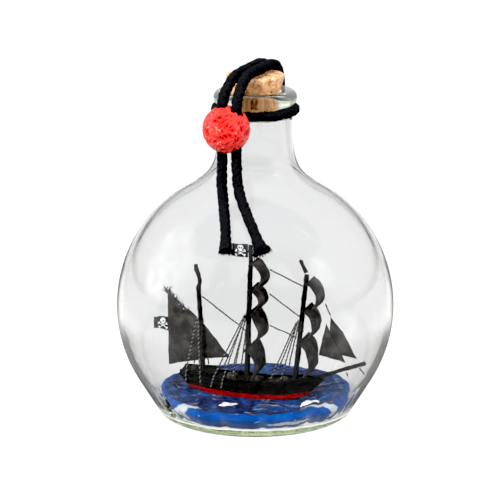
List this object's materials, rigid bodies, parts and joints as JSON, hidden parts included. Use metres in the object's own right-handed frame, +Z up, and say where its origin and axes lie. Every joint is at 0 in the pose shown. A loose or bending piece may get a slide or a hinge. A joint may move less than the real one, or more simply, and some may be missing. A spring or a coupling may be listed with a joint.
{
  "type": "ship in a bottle",
  "caption": "Corked round glass bottle holding a three-masted sailing ship on a moulded sea, with a cord tied over the cork through a round bead.",
  "frame": {"origin": "centre of the bottle's foot on the surface it stands on", "axes": "+Z up along the neck, +X towards the ship's bow side, -Y towards the side with the bead"},
  "size_m": [0.1, 0.1, 0.129],
  "materials": {
    "glass": "clear, polished",
    "cork": "natural cork, pitted",
    "black_cord": "twisted cord",
    "red_bead": "glossy, wrinkled",
    "sea": "moulded putty, semi-gloss",
    "foam": "white paint dabs",
    "hull_paint": "black above, red below the waterline",
    "spar": "black paint, satin",
    "sailcloth": "stiffened dark cloth",
    "flag": null,
    "thread": "fine twisted thread"
  },
  "bodies": {
    "bottle": {"glass_bottle": "glass", "neck_cord_ring": "black_cord", "cord_hitch": "black_cord", "sea": "sea", "hull": "hull_paint", "quarterdeck": "hull_paint", "main_mast": "spar", "fore_mast": "spar", "mizzen_mast": "spar", "fore_topmast": "spar", "bowsprit": "spar", "mizzen_sail": "sailcloth", "inner_jib": "sailcloth", "outer_jib": "sailcloth", "stern_flag": "flag", "main_flag": "flag", "main_shrouds": "thread", "fore_shrouds": "thread", "mizzen_shrouds": "thread", "mast_stays": "thread", "jib_stays": "thread", "main_course": "sailcloth", "main_topsail": "sailcloth", "main_topgallant_sail": "sailcloth", "main_royal": "sailcloth", "fore_course": "sailcloth", "fore_topsail": "sailcloth", "fore_topgallant_sail": "sailcloth", "main_course_yard": "spar", "main_topsail_yard": "spar", "main_topgallant_yard": "spar", "main_royal_yard": "spar", "fore_course_yard": "spar", "fore_topsail_yard": "spar", "fore_topgallant_yard": "spar"},
    "stopper": {"cork_stopper": "cork"},
    "tie": {"tie_cord_left": "black_cord", "tie_cord_right": "black_cord", "tail_cord_left": "black_cord", "tail_cord_right": "black_cord"},
    "bead": {"bead": "red_bead"}
  },
  "joints": [
    {"name": "tie_flip", "type": "hinge", "parent": "bottle", "child": "tie", "pos_m": [0.00727, 0.01559, 0.1149], "axis": [-0.9063, 0.4226, 0], "range_deg": [0, 85]},
    {"name": "cork_pull", "type": "slide", "parent": "bottle", "child": "stopper", "axis": [0, 0, 1], "range_m": [0, 0.0125]},
    {"name": "bead_slide", "type": "slide", "parent": "tie", "child": "bead", "axis": [0, 0, -1], "range_m": [0, 0.0035]}
  ],
  "couplings": [
    {"joint": "cork_pull", "follows": "tie_flip", "m_per_rad": 0.0084}
  ]
}
